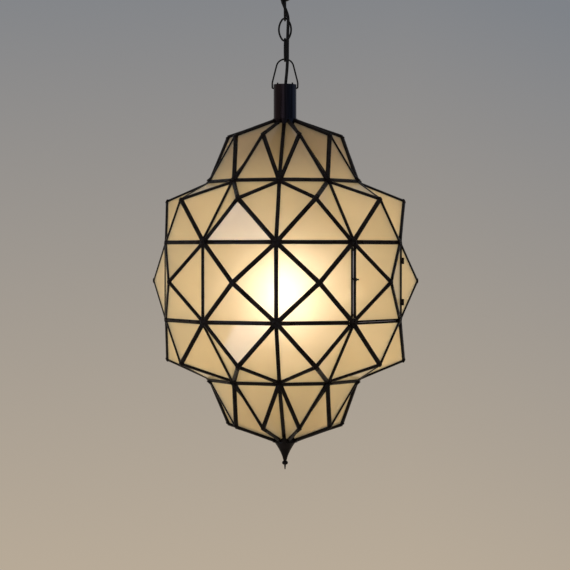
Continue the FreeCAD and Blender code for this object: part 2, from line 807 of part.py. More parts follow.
def lamp_parts():
    bulb_top = belt_z + bulb_centre - bulb_radius + bulb_length
    glass_top = bulb_top - screw_base_length - screw_base_taper
    seal = glass_top + solder_gap
    taper = bulb_top - screw_base_taper
    core_bottom = bulb_top + solder_gap
    holder_top = core_bottom + holder_core_thickness
    holder_bottom = holder_top - holder_length
    cap_top = holder_top + holder_cap_length
    shell_inner = screw_base_radius + thread_fit
    skirt_inner = holder_radius - holder_wall
    cap_neck = rod_hole + holder_wall
    return {
        "bulb_glass": bulb_glass(glass_top),
        "bulb_cap": turned([(0, seal), (screw_base_radius, seal), (screw_base_radius, taper),
                            (contact_radius, bulb_top), (0, bulb_top)]),
        "lampholder_core": rod(skirt_inner - solder_gap, core_bottom, holder_top),
        "lampholder_thread_shell": ring(shell_inner + thread_shell_wall, shell_inner,
                                        seal + thread_fit, core_bottom - solder_gap),
        "lampholder_skirt": ring(holder_radius, skirt_inner, holder_bottom, holder_top),
        "lampholder_cap": turned([
            (skirt_inner, holder_top + solder_gap), (holder_radius, holder_top + solder_gap),
            (cap_neck + holder_wall, cap_top - holder_cap_length / 2), (cap_neck, cap_top),
            (rod_hole, cap_top), (rod_hole, cap_top - holder_cap_length / 2),
            (skirt_inner, holder_top + holder_wall),
        ]),
    }, cap_top


def neck_parts(cap_top):
    plate = belt_z + plate_top
    stem_top = plate + stem_stub
    stem_bottom = cap_top - holder_cap_length / 2
    cord_end = bail_pin_z + cord_points[0][2]
    cord_radius = cord_diameter / 2
    rim = rod_diameter / 2
    bore = rod_bore / 2
    ferrule_inner = neck_radius + solder_gap
    return {
        "neck_tube": neck_tube(),
        "neck_plate": ring(neck_radius - neck_wall - solder_gap, rod_hole, plate - plate_thickness, plate),
        "neck_ferrule": ring(ferrule_radius, ferrule_inner, belt_z + ferrule_bottom, belt_z + ferrule_top),
        "stem": ring(rim, bore, stem_bottom, stem_top),
        "stem_nuts": Part.makeCompound([
            hex_nut(rod_hole, plate), hex_nut(rod_hole, plate - plate_thickness - nut_thickness),
            hex_nut(rod_hole, cap_top + solder_gap),
        ]),
        "cord_grommet": turned([
            (cord_radius + cord_fit, stem_top - grommet_height), (bore - solder_gap, stem_top - grommet_height),
            (bore - solder_gap, stem_top), (rim, stem_top), (rim, cord_end - grommet_bevel),
            (rim - grommet_bevel, cord_end), (cord_radius + cord_fit, cord_end),
        ]),
        "inner_lead": rod(cord_radius, stem_bottom, cord_end),
    }


# The turned drop that closes the lantern below
def base_parts():
    top = belt_z - ferrule_bottom
    bottom = top - ferrule_length
    stud = finial_stud_diameter / 2
    inner = ferrule_radius - ferrule_wall
    cup = turned([
        (stud + rod_fit, bottom), (ferrule_radius, bottom), (ferrule_radius, top),
        (inner, top), (inner, bottom + base_floor), (stud + rod_fit, bottom + base_floor),
    ])
    shelf = bottom - solder_gap
    cone_end = shelf - finial_cone
    cone_middle = (finial_root_radius + finial_waist_radius) / 2 - finial_cone_sag
    neck_end = cone_end - finial_neck
    bead_end = neck_end - finial_bead_height
    end = bead_end - finial_tip
    stud_top = shelf + finial_stud_length
    finial = turned_edges([
        line((0, stud_top), (stud, stud_top)),
        line((stud, stud_top), (stud, shelf)),
        line((stud, shelf), (finial_root_radius, shelf)),
        arc((finial_root_radius, shelf), (cone_middle, shelf - finial_cone / 2),
            (finial_waist_radius, cone_end)),
        line((finial_waist_radius, cone_end), (finial_neck_radius, neck_end)),
        arc((finial_neck_radius, neck_end), (finial_bead_radius, (neck_end + bead_end) / 2),
            (finial_tip_radius, bead_end)),
        line((finial_tip_radius, bead_end), (finial_tip_radius / 2, end)),
        line((finial_tip_radius / 2, end), (0, end)),
        line((0, end), (0, stud_top)),
    ])
    return {
        "base_cup": cup,
        "finial": finial,
        "finial_nut": hex_nut(stud + rod_fit, bottom + base_floor + solder_gap),
    }


def all_nodes():
    nodes = {
        "mounting_strap": mounting_strap(),
        "ceiling_rod": ring(rod_diameter / 2, rod_bore / 2, collar_top - collar_thread_depth + solder_gap,
                            -ceiling_shadow_gap),
        "ceiling_nut": hex_nut(rod_hole, -strap_thickness - solder_gap - nut_thickness),
        "ceiling_canopy": canopy(),
        "suspension_loop": suspension_loop(),
        "ceiling_lead": rod(cord_diameter / 2, collar_bottom, -ceiling_shadow_gap),
        "chain_link_3": chain_link(link_3_z, True),
        "chain_link_2": chain_link(link_2_z, False),
        "chain_link_1": chain_link(link_1_z, True),
        "bail": bail(),
    }
    nodes.update(cord_stretches())
    lamp, cap_top = lamp_parts()
    nodes.update(lamp)
    nodes.update(neck_parts(cap_top))
    nodes.update(base_parts())
    nodes.update(lantern_shell())
    body_halves, door_halves, pins = hinges()
    hook, rivet, stud = latch_parts()
    nodes["hinge_leaves_fixed"] = body_halves
    nodes["hinge_leaves_door"] = door_halves
    nodes["hinge_pins"] = pins
    nodes["latch_hook"] = hook
    nodes["latch_rivet"] = rivet
    nodes["latch_keeper"] = stud
    return nodes


os.makedirs("parts", exist_ok=True)
for node_name, shape in all_nodes().items():
    if isinstance(shape, list):
        shape = Part.makeCompound(shape)
    shape.exportStep("parts/" + node_name + ".step")
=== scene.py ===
import json
import math

import bmesh
import bpy
from mathutils import Matrix, Quaternion, Vector, noise

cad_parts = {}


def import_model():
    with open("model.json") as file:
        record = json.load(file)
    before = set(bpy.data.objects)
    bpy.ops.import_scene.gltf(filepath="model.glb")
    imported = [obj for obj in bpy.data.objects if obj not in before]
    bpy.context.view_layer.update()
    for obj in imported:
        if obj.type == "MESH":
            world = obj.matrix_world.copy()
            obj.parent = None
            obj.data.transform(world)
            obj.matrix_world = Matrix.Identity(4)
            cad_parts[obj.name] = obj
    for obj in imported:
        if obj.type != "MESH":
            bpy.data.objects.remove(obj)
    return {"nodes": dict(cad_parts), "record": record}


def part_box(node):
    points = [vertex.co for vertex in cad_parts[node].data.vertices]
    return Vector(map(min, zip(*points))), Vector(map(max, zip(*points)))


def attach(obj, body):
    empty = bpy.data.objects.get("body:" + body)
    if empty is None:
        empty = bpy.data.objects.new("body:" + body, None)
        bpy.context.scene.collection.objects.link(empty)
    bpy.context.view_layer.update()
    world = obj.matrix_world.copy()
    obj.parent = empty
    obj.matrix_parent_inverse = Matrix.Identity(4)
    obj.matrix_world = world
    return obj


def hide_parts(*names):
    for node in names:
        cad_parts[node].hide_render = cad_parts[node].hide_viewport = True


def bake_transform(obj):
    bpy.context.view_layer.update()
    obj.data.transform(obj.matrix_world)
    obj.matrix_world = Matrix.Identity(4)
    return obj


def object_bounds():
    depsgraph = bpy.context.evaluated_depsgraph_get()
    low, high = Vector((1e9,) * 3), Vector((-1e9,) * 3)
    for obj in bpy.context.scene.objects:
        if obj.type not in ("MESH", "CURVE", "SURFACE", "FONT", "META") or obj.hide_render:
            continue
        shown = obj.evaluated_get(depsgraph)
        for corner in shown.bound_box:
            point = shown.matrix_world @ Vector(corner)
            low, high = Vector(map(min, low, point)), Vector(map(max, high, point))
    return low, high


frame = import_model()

cad_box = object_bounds()
UP = Vector((0, 0, 1))

# Corners of the glass, as radius, height over the belt and share of a cell that the ring is turned
CELLS = 10
CELL_ANGLE = 360.0 / CELLS
RINGS = {
    "apex": (0.0, 0.243, 0.0),
    "star": (0.085, 0.213, 0.5),
    "waist": (0.115, 0.144, 0.0),
    "shoulder": (0.1765, 0.118, 0.5),
    "frame": (0.1795, 0.0564, 0.0),
    "belt": (0.196, 0.0, 0.5),
    "low_frame": (0.1795, -0.0564, 0.0),
}
GLASS_HALF = 0.0015
PANE_INSET = 0.0020
TONE_CELLS = 47.0
TONE_SHARE = 0.5

# Door, which is one cell of the belt
DOOR_CELL = 1
DOOR_EDGES = (DOOR_CELL, DOOR_CELL + 1)
DOOR_GAP = 0.0008
BODY_CELLS = [cell for cell in range(CELLS) if cell != DOOR_CELL]

# Solder beads over the seams
RIDGE_HALF = 0.0034
CROWN_HALF = 0.0025
CROWN_VALLEY_HALF = 0.0031
WAIST_HALF = 0.0042
RING_HALF = 0.0031
UPRIGHT_HALF = 0.0030
BEAD_CROWN = 0.0006
VALLEY_CROWN = 0.0010
INNER_CROWN = 0.0013
RIDGE_SINK = 0.9
VALLEY_RISE = 0.8
BEAD_SIDES = 8
BEAD_CUTS = 5
BEAD_SWELL = 0.08
BEAD_SWELL_REACH = 0.007
BEAD_UNEVEN = 0.07
BEAD_NOISE = 160
FERRULE_SHARE = 0.95

# Split seams round the door: half width and half gap of each strip, and what stops the light between them
UPRIGHT_STRIP = (0.0017, 0.0012)
RAIL_STRIP = (0.0014, 0.0007)
DOOR_TRIM = 0.006
# Tongue: a pale strip in the door's gap, a painted highlight line
UPRIGHT_TONGUE = 0.00075
RAIL_TONGUE = 0.0004
TONGUE_TRIM = 0.012
TONGUE_DROP = 0.0002
TONGUE_CROWN = 0.0003
STOP_DEPTH = 0.0039
STOP_HALF = 0.0026
STOP_CROWN = 0.0009

# Solder lumps over the corners
LUMP_RADIUS = {"star": 0.0036, "waist": 0.0054, "shoulder": 0.0035, "frame": 0.0058, "belt": 0.0040}
DOOR_LUMP_SHARE = 1.18
LUMP_HEIGHT = 0.0010
LUMP_ROOT = 0.0046
LUMP_LEAN = 0.75
LUMP_UNEVEN = 0.12
LUMP_NOISE = 220

# Cord beside the chain, as offsets from the axis and heights over the bail's pins
CORD_DIAMETER = 0.0046
CORD_POINTS = (
    (0.0, 0.0, -0.0095),
    (0.0008, -0.0006, 0.0060),
    (0.0030, -0.0036, 0.0240),
    (0.0041, -0.0048, 0.0420),
    (0.0040, -0.0049, 0.0600),
    (0.0043, -0.0049, 0.0780),
    (0.0049, -0.0050, 0.0930),
    (0.0052, -0.0050, 0.1060),
    (0.0000, -0.0043, 0.1195),
    (-0.0050, -0.0049, 0.1315),
    (-0.0005, -0.0007, 0.1475),
    (0.0, 0.0, 0.1573),
)
CORD_STEPS = 24
CORD_ORDER = 3
CORD_ROUNDING = 4

# Cord stretches from the neck up, each with the bodies at its upper and lower end
CORD_STRETCHES = (
    ("cord_at_neck", "bail", "lantern"),
    ("cord_at_link_1", "chain_link_1", "bail"),
    ("cord_at_link_2", "chain_link_2", "chain_link_1"),
    ("cord_at_link_3", "chain_link_3", "chain_link_2"),
    ("cord_at_loop", "ceiling_fitting", "chain_link_3"),
)

# Cloudy blotches and fine ripples that the finishes share
CLOUD_DETAIL = 5.0
CLOUD_ROUGHNESS = 0.6
CLOUD_EDGES = (0.35, 0.65)
RIPPLE_DETAIL = 2.0
BUMP_DEPTH = 0.0006
SPECULAR = 0.5
COAT_ROUGHNESS = 0.03

# Sockets of a colour mix: the mask and two colours go in, one colour comes out
MIX_INPUTS = (0, 6, 7)
MIX_OUTPUT = 2

# Painted reflection on the neck: a tint from one side to the other, red brown on one side and blue on the
# other
NECK_REFLECTION_REACH = (-0.006, 0.008)
NECK_REFLECTION_TINTS = ((1.0, 0.50, 0.42), (0.42, 0.58, 1.0))
NECK_REFLECTION_SHARE = 0.8

# Lit bulb, brighter on one flank
BULB_FLANKS = (-0.03, 0.03)
BULB_SHARES = (0.4, 1.0)
BULB_TONES = ((0.40, 0.39, 0.42), (1.0, 1.0, 1.16))
BULB_BASE = (0.85, 0.80, 0.70)
BULB_ROUGH = (0.35, 0.5)
BULB_STRENGTH = 160.0

# Milk glass, and its painted glow: emission painted by distance from the bulb, with painted shade by height
# over the belt
GLASS_TONES = ((0.51, 0.39, 0.225), (0.61, 0.48, 0.295))
GLASS_BUMP = (0.04, 0.0008)
PAINTED_GLOW_TONES = ((0.020, 0.011, 0.002), (0.215, 0.166, 0.080))
PAINTED_GLOW_REACH = (0.185, 0.285)
# Painted shade: the painted glow dims under the lampholder at the top of the crown and towards the bottom
# tip
LAMPHOLDER_SHADE_RISE = (0.13, 0.19)
LAMPHOLDER_SHADE_SHARE = 0.30
FOOT_SHADE_RISE = (-0.19, -0.13)
FOOT_SHADE_SHARE = 0.65

# Camera as in the photograph
VIEW_TURN = 3.9
VIEW_DISTANCE = 2.664
VIEW_RISE = 0.043
VIEW_AIM = -0.0064
LENS = 112.8
SENSOR = 36.0

# Floor far below, and a backdrop tone that is paler low down and darker high on the right
FLOOR_RADIUS = 7.0
FLOOR_SIDES = 96
FLOOR_FADE = 1.5
FLOOR_DROP = 1.5
FLOOR_TONES = ((0.78, 0.67, 0.53), (0.82, 0.71, 0.57))
FLOOR_LIFT = (0.17, 0.14, 0.10)
BACKDROP_SLANT = 0.33
BACKDROP_RISE = (-0.19, 0.16)
BACKDROP_TONES = ((0.490, 0.411, 0.316), (0.213, 0.226, 0.247))
AMBIENT_TONE = (0.95, 0.97, 1.0)
AMBIENT_STRENGTH = 0.42

# Lamps, by their place round the belt's middle, size, power and tint
LAMPS = {
    "side_window": dict(angle=-36.9, rise=-5.2, roll=-23, distance=2.2, width=0.55, height=0.85,
                        power=6.8, tint=(0.60, 0.72, 1.0)),
    "top_fill": dict(angle=20, rise=62, roll=0, distance=2.6, width=3.0, height=3.0,
                     power=9.0, tint=(1.0, 0.97, 0.93)),
}


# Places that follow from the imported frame
def joint_point(name):
    for joint in frame["record"]["behaviour"]["joints"]:
        if joint["name"] == name:
            return Vector(joint["pos_m"])


belt_low, belt_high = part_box("belt_panes")
BELT_Z = (belt_low[2] + belt_high[2]) / 2
bulb_low, bulb_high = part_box("bulb_glass")
BULB_Z = bulb_low[2] + (bulb_high[0] - bulb_low[0]) / 2
FERRULE_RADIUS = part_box("neck_ferrule")[1][0]
PIN_Z = joint_point("bail_to_neck").z


# Node helpers
def feed(tree, socket, value):
    if isinstance(value, bpy.types.NodeSocket):
        tree.links.new(value, socket)
    else:
        socket.default_value = value


def set_inputs(tree, node, **sockets):
    for name, value in sockets.items():
        feed(tree, node.inputs[name.replace("_", " ")], value)


def add_node(tree, kind, **sockets):
    node = tree.nodes.new(kind)
    set_inputs(tree, node, **sockets)
    return node


def math_node(tree, operation, first, second):
    node = tree.nodes.new("ShaderNodeMath")
    node.operation = operation
    for socket, value in zip(node.inputs, (first, second)):
        feed(tree, socket, value)
    return node.outputs[0]


def vector_node(tree, operation, first, second):
    node = tree.nodes.new("ShaderNodeVectorMath")
    node.operation = operation
    for socket, value in zip(node.inputs, (first, second)):
        feed(tree, socket, value)
    return node


def spread(tree, value, low, high, out_low, out_high):
    return add_node(tree, "ShaderNodeMapRange", Value=value, From_Min=low, From_Max=high,
                    To_Min=out_low, To_Max=out_high).outputs["Result"]


def colour_mix(tree, mask, first, second, blend="MIX"):
    node = tree.nodes.new("ShaderNodeMix")
    node.data_type = "RGBA"
    node.blend_type = blend
    for place, value in zip(MIX_INPUTS, (mask, first, second)):
        feed(tree, node.inputs[place], value)
    return node.outputs[MIX_OUTPUT]


def shade(red, green, blue):
    return (red, green, blue, 1.0)


def two_tones(tree, mask, tones):
    return colour_mix(tree, mask, shade(*tones[0]), shade(*tones[1]))


def object_place(tree):
    return tree.nodes.new("ShaderNodeTexCoord").outputs["Object"]


def along_axis(tree, place, axis):
    return add_node(tree, "ShaderNodeSeparateXYZ", Vector=place).outputs[axis]


def reach_from(tree, place, height):
    # How far a spot lies from a point on the axis
    return vector_node(tree, "DISTANCE", place, (0.0, 0.0, height)).outputs["Value"]


# Shared effects
def mottle_group():
    # Cloudy blotches and a fine ripple, in object space, with a stretch down the axis
    tree = bpy.data.node_groups.new("mottle", "ShaderNodeTree")
    for way, names in (("INPUT", ("Size", "Ripple", "Stretch")), ("OUTPUT", ("Mask", "Height"))):
        for name in names:
            tree.interface.new_socket(name=name, in_out=way, socket_type="NodeSocketFloat")
    inlet = tree.nodes.new("NodeGroupInput")
    outlet = tree.nodes.new("NodeGroupOutput")
    scale = add_node(tree, "ShaderNodeCombineXYZ", X=1.0, Y=1.0, Z=inlet.outputs["Stretch"]).outputs[0]
    placed = vector_node(tree, "MULTIPLY", object_place(tree), scale).outputs[0]
    cloud = add_node(tree, "ShaderNodeTexNoise", Vector=placed, Scale=inlet.outputs["Size"],
                     Detail=CLOUD_DETAIL, Roughness=CLOUD_ROUGHNESS)
    ripple = add_node(tree, "ShaderNodeTexNoise", Vector=placed, Scale=inlet.outputs["Ripple"],
                      Detail=RIPPLE_DETAIL)
    mask = spread(tree, cloud.outputs[0], *CLOUD_EDGES, 0.0, 1.0)
    set_inputs(tree, outlet, Mask=mask, Height=ripple.outputs[0])
    return tree


MOTTLE = mottle_group()


def start_material(name):
    material = bpy.data.materials.new(name)
    material.use_nodes = True
    tree = material.node_tree
    return material, tree, tree.nodes["Principled BSDF"]


def place_mottle(tree, cloud, ripple, stretch=1.0):
    node = tree.nodes.new("ShaderNodeGroup")
    node.node_tree = MOTTLE
    set_inputs(tree, node, Size=cloud, Ripple=ripple, Stretch=stretch)
    return node.outputs["Mask"], node.outputs["Height"]


def add_bump(tree, shader, height, strength, distance):
    bump = add_node(tree, "ShaderNodeBump", Height=height, Strength=strength, Distance=distance)
    set_inputs(tree, shader, Normal=bump.outputs[0])


# Finishes of two close tones whose gloss changes with the tone
MOTTLED = {
    "solder": dict(name="black_solder", tones=((0.004, 0.0025, 0.002), (0.012, 0.008, 0.007)),
                   rough=(0.22, 0.42), cloud=60.0, ripple=420.0, bump=0.35, specular=0.07,
                   coat=0.08, coat_rough=0.08),
    # Pale lead for the strip in the door's gap, a painted highlight line
    "lead": dict(name="lead_painted_highlight", tones=((0.42, 0.37, 0.38), (0.62, 0.56, 0.56)),
                 rough=(0.45, 0.60), metal=0.2, cloud=60.0, ripple=420.0, bump=0.25),
    "wire": dict(name="blackened_wire", tones=((0.004, 0.004, 0.005), (0.014, 0.013, 0.013)),
                 rough=(0.30, 0.50), metal=0.4, cloud=90.0, ripple=700.0, bump=0.25, specular=0.15),
    "neck": dict(name="oxidised_sheet", tones=((0.003, 0.003, 0.004), (0.050, 0.050, 0.060)),
                 rough=(0.10, 0.30), metal=0.9, cloud=170.0, ripple=260.0, bump=0.10, stretch=0.03),
    "canopy": dict(name="black_enamel", tones=((0.012, 0.012, 0.013), (0.022, 0.021, 0.021)),
                   rough=(0.28, 0.42), cloud=30.0, ripple=900.0, bump=0.20),
    "steel": dict(name="zinc_steel", tones=((0.42, 0.42, 0.40), (0.60, 0.59, 0.55)),
                  rough=(0.30, 0.48), metal=1.0, cloud=120.0, ripple=800.0, bump=0.20),
    "brass": dict(name="bare_brass", tones=((0.52, 0.36, 0.13), (0.68, 0.50, 0.22)),
                  rough=(0.22, 0.40), metal=1.0, cloud=90.0, ripple=800.0, bump=0.15),
    "bakelite": dict(name="dark_bakelite", tones=((0.016, 0.011, 0.008), (0.034, 0.022, 0.016)),
                     rough=(0.28, 0.44), cloud=70.0, ripple=600.0, bump=0.10),
    "ceramic": dict(name="glazed_ceramic", tones=((0.66, 0.63, 0.57), (0.76, 0.73, 0.67)),
                    rough=(0.16, 0.30), cloud=60.0, ripple=400.0, bump=0.10),
    "cord": dict(name="cord_sheath", tones=((0.004, 0.004, 0.005), (0.010, 0.009, 0.009)),
                 rough=(0.42, 0.60), cloud=160.0, ripple=1200.0, bump=0.30, specular=0.15),
}


def mottled_finish(name, tones, rough, cloud, ripple, bump, metal=0.0, stretch=1.0,
                   specular=SPECULAR, coat=0.0, coat_rough=COAT_ROUGHNESS):
    material, tree, shader = start_material(name)
    mask, height = place_mottle(tree, cloud, ripple, stretch)
    set_inputs(tree, shader, Base_Color=two_tones(tree, mask, tones), Metallic=metal,
               Roughness=spread(tree, mask, 0.0, 1.0, *rough), Specular_IOR_Level=specular,
               Coat_Weight=coat, Coat_Roughness=coat_rough)
    add_bump(tree, shader, height, bump, BUMP_DEPTH)
    return material


def paint_neck_reflection(material):
    # Painted reflection: the dark sheet's streaks are tinted from red brown on one side to blue black on
    # the other
    tree = material.node_tree
    shader = tree.nodes["Principled BSDF"]
    side = spread(tree, along_axis(tree, object_place(tree), "X"), *NECK_REFLECTION_REACH, 0.0, 1.0)
    tint = two_tones(tree, side, NECK_REFLECTION_TINTS)
    streaks = shader.inputs["Base Color"].links[0].from_socket
    set_inputs(tree, shader, Base_Color=colour_mix(tree, NECK_REFLECTION_SHARE, streaks, tint, "MULTIPLY"))


def bulb_finish():
    # A lit pearl bulb that glows most on one flank
    material, tree, shader = start_material("lit_bulb")
    side = spread(tree, along_axis(tree, object_place(tree), "X"), *BULB_FLANKS, *BULB_SHARES)
    mask = place_mottle(tree, cloud=60.0, ripple=500.0)[0]
    set_inputs(tree, shader, Base_Color=shade(*BULB_BASE),
               Roughness=spread(tree, mask, 0.0, 1.0, *BULB_ROUGH),
               Emission_Color=two_tones(tree, side, BULB_TONES), Emission_Strength=BULB_STRENGTH)
    return material


def milk_glass_finish():
    # Cream opal glass: smooth outside, cloudy through its depth and lit from within by the bulb, with the
    # bulb's glow also painted in as emission that is brightest nearest the bulb
    material, tree, shader = start_material("milk_glass")
    mask, ripple = place_mottle(tree, cloud=9.0, ripple=55.0)
    tone = tree.nodes.new("ShaderNodeAttribute")
    tone.attribute_name = "tone"
    mask = math_node(tree, "MULTIPLY", math_node(tree, "ADD", mask, tone.outputs["Fac"]), TONE_SHARE)
    place = object_place(tree)
    # Painted glow: emission that fades with distance from the bulb
    near = spread(tree, reach_from(tree, place, BULB_Z), *PAINTED_GLOW_REACH, 1.0, 0.0)
    rise = math_node(tree, "SUBTRACT", along_axis(tree, place, "Z"), BELT_Z)
    # Painted shade: the glow dims under the lampholder at the top and towards the bottom tip
    near = math_node(tree, "MULTIPLY", near, spread(tree, rise, *LAMPHOLDER_SHADE_RISE, 1.0, LAMPHOLDER_SHADE_SHARE))
    near = math_node(tree, "MULTIPLY", near, spread(tree, rise, *FOOT_SHADE_RISE, FOOT_SHADE_SHARE, 1.0))
    set_inputs(tree, shader, Base_Color=two_tones(tree, mask, GLASS_TONES), Roughness=0.62, IOR=1.48,
               Transmission_Weight=0.74, Coat_Weight=0.9, Coat_Roughness=COAT_ROUGHNESS,
               Emission_Color=two_tones(tree, near, PAINTED_GLOW_TONES), Emission_Strength=1.0)
    add_bump(tree, shader, ripple, *GLASS_BUMP)
    return material


FINISH = {key: mottled_finish(**look) for key, look in MOTTLED.items()}
paint_neck_reflection(FINISH["neck"])
FINISH["bulb"] = bulb_finish()
FINISH["glass"] = milk_glass_finish()

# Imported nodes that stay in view, by finish
DRESSED = {
    "steel": ("mounting_strap", "ceiling_rod", "ceiling_nut", "stem", "stem_nuts", "finial_nut"),
    "canopy": ("ceiling_canopy", "suspension_loop"),
    "wire": ("chain_link_1", "chain_link_2", "chain_link_3", "bail", "latch_hook", "latch_rivet",
             "latch_keeper", "hinge_pins"),
    "cord": ("ceiling_lead", "inner_lead", "cord_grommet"),
    "neck": ("neck_tube", "neck_plate", "neck_ferrule"),
    "solder": ("base_cup", "finial", "hinge_leaves_fixed", "hinge_leaves_door"),
    "bakelite": ("lampholder_cap", "lampholder_skirt"),
    "ceramic": ("lampholder_core",),
    "brass": ("lampholder_thread_shell", "bulb_cap"),
    "bulb": ("bulb_glass",),
}


def dress_nodes():
    for finish, names in DRESSED.items():
        for name in names:
            slots = frame["nodes"][name].data.materials
            slots.clear()
            slots.append(FINISH[finish])


# Places on the faceted body
def polar(radius, angle, height):
    turn = math.radians(angle)
    return Vector((radius * math.sin(turn), -radius * math.cos(turn), BELT_Z + height))


def corner(name, step):
    radius, height, offset = RINGS[name]
    return polar(radius, CELL_ANGLE * (step + offset), height)


def flip(point):
    return Vector((point.x, point.y, 2 * BELT_Z - point.z))


def corners(names, cell, upside_down):
    points = [corner(name, step + cell) for name, step in names]
    return [flip(point) for point in points] if upside_down else points


def facet_normal(first, second, third):
    normal = (second - first).cross(third - first).normalized()
    middle = (first + second + third) / 3 - Vector((0, 0, BELT_Z))
    return normal if normal.dot(middle) > 0 else -normal


# Seams of one cell: two ends, the far corner of the glass on each side, and the bead's half width
SEAMS = {
    "crown": (
        (("apex", 0), ("star", 0), ("waist", 0), ("waist", 1), CROWN_HALF),
        (("apex", 0), ("waist", 0), ("star", -1), ("star", 0), CROWN_VALLEY_HALF),
    ),
    "star": (
        (("star", 0), ("waist", 0), ("apex", 0), ("waist", 1), RIDGE_HALF),
        (("star", 0), ("waist", 1), ("apex", 0), ("waist", 0), RIDGE_HALF),
        (("waist", 0), ("waist", 1), ("star", 0), ("shoulder", 0), WAIST_HALF),
    ),
    "shoulder": (
        (("waist", 0), ("shoulder", 0), ("waist", 1), ("frame", 0), RIDGE_HALF),
        (("waist", 1), ("shoulder", 0), ("waist", 0), ("frame", 1), RIDGE_HALF),
        (("waist", 0), ("frame", 0), ("shoulder", -1), ("shoulder", 0), UPRIGHT_HALF),
        (("shoulder", 0), ("frame", 0), ("waist", 0), ("frame", 1), RIDGE_HALF),
        (("shoulder", 0), ("frame", 1), ("waist", 1), ("frame", 0), RIDGE_HALF),
    ),
    "belt": (
        (("frame", 0), ("belt", 0), ("frame", 1), ("low_frame", 0), RIDGE_HALF),
        (("frame", 1), ("belt", 0), ("frame", 0), ("low_frame", 1), RIDGE_HALF),
        (("low_frame", 0), ("belt", 0), ("low_frame", 1), ("frame", 0), RIDGE_HALF),
        (("low_frame", 1), ("belt", 0), ("low_frame", 0), ("frame", 1), RIDGE_HALF),
    ),
}

# Rail and upright of the belt, by the same four corners
RAIL = (("frame", 0), ("frame", 1), ("shoulder", 0), ("belt", 0))
UPRIGHT = (("frame", 0), ("low_frame", 0), ("belt", -1), ("belt", 0))

# Panes of one cell by their corners
FACETS = {
    "crown": (
        (("apex", 0), ("star", 0), ("waist", 0)),
        (("apex", 0), ("star", 0), ("waist", 1)),
        (("star", 0), ("waist", 0), ("waist", 1)),
    ),
    "shoulder": (
        (("waist", 0), ("waist", 1), ("shoulder", 0)),
        (("waist", 0), ("shoulder", 0), ("frame", 0)),
        (("waist", 1), ("shoulder", 0), ("frame", 1)),
        (("shoulder", 0), ("frame", 0), ("frame", 1)),
    ),
    "belt": (
        (("frame", 0), ("frame", 1), ("belt", 0)),
        (("low_frame", 0), ("low_frame", 1), ("belt", 0)),
        (("frame", 0), ("low_frame", 0), ("belt", 0)),
        (("frame", 1), ("low_frame", 1), ("belt", 0)),
    ),
}


# Pieces
def add_object(name, data):
    item = bpy.data.objects.new(name, data)
    bpy.context.scene.collection.objects.link(item)
    return item


def smooth(mesh, is_smooth):
    for face in mesh.polygons:
        face.use_smooth = is_smooth


def finish_piece(name, bm, finish, body, slot, *nodes):
    mesh = bpy.data.meshes.new(name)
    bm.to_mesh(mesh)
    bm.free()
    smooth(mesh, True)
    mesh.materials.append(FINISH[finish])
    piece = add_object(name, mesh)
    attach(piece, body)
    if nodes:
        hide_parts(*nodes)
    return piece


def add_to(bm, part):
    # A shape that was made alone joins its piece
    scratch = bpy.data.meshes.new("scratch")
    part.to_mesh(scratch)
    part.free()
    bm.from_mesh(scratch)
    bpy.data.meshes.remove(scratch)


# Panes
def cut_at_ferrule(top, corner_point):
    share = FERRULE_RADIUS / math.hypot(corner_point.x, corner_point.y)
    return top.lerp(corner_point, share)


def pane(bm, points, cut_top):
    # A flat cut of glass that ends under the solder, marked with a tone of its own
    normal = facet_normal(*points)
    middle = (points[0] + points[1] + points[2]) / 3
    if cut_top:
        apex, left, right = points
        points = [cut_at_ferrule(apex, left), left, right, cut_at_ferrule(apex, right)]
    part = bmesh.new()
    tone = part.faces.layers.float.new("tone")
    face = part.faces.new([part.verts.new(point - normal * GLASS_HALF) for point in points])
    face.normal_update()
    rim = bmesh.ops.inset_individual(part, faces=[face], thickness=PANE_INSET, use_even_offset=True)
    bmesh.ops.delete(part, geom=rim["faces"], context="FACES")
    top = bmesh.ops.extrude_face_region(part, geom=[face])
    moved = [item for item in top["geom"] if isinstance(item, bmesh.types.BMVert)]
    bmesh.ops.translate(part, verts=moved, vec=normal * (2 * GLASS_HALF))
    bmesh.ops.recalc_face_normals(part, faces=part.faces)
    for side in part.faces:
        side[tone] = noise.cell(middle * TONE_CELLS)
    add_to(bm, part)


def panes(node, group, body="lantern", cells=range(CELLS), upside_down=False):
    bm = bmesh.new()
    bm.faces.layers.float.new("tone")
    for cell in cells:
        for facet in FACETS[group]:
            pane(bm, corners(facet, cell, upside_down), facet[0][0] == "apex")
    piece = finish_piece(node + "_cut", bm, "glass", body, "milk_glass", node)
    smooth(piece.data, False)


# Solder beads
def bead(bm, start, end, across, outward, half_width, crown, root, end_swell=BEAD_SWELL):
    # An uneven half-round bead that swells where it runs into the solder at its ends
    length = (end - start).length
    along = (end - start) / length
    basis = Matrix((across * half_width, outward * crown, along * length)).transposed().to_4x4()
    part = bmesh.new()
    bmesh.ops.create_cone(part, cap_ends=True, segments=BEAD_SIDES, radius1=1, radius2=1, depth=1,
                          matrix=Matrix.Translation((start + end) / 2) @ basis)
    runs = [edge for edge in part.edges
            if abs((edge.verts[1].co - edge.verts[0].co).dot(along)) > length / 2]
    bmesh.ops.subdivide_edges(part, edges=runs, cuts=BEAD_CUTS)
    for vert in part.verts:
        reach = (vert.co - start).dot(along)
        foot = start + along * reach
        offset = vert.co - foot
        depth = offset.dot(outward)
        if depth < 0:
            offset -= outward * (depth * (1 - root / crown))
        near = min(reach, length - reach)
        swell = 1 + end_swell * math.exp(-near / BEAD_SWELL_REACH)
        swell += BEAD_UNEVEN * noise.noise(vert.co * BEAD_NOISE)
        vert.co = foot + offset * swell
    bmesh.ops.recalc_face_normals(part, faces=part.faces)
    add_to(bm, part)


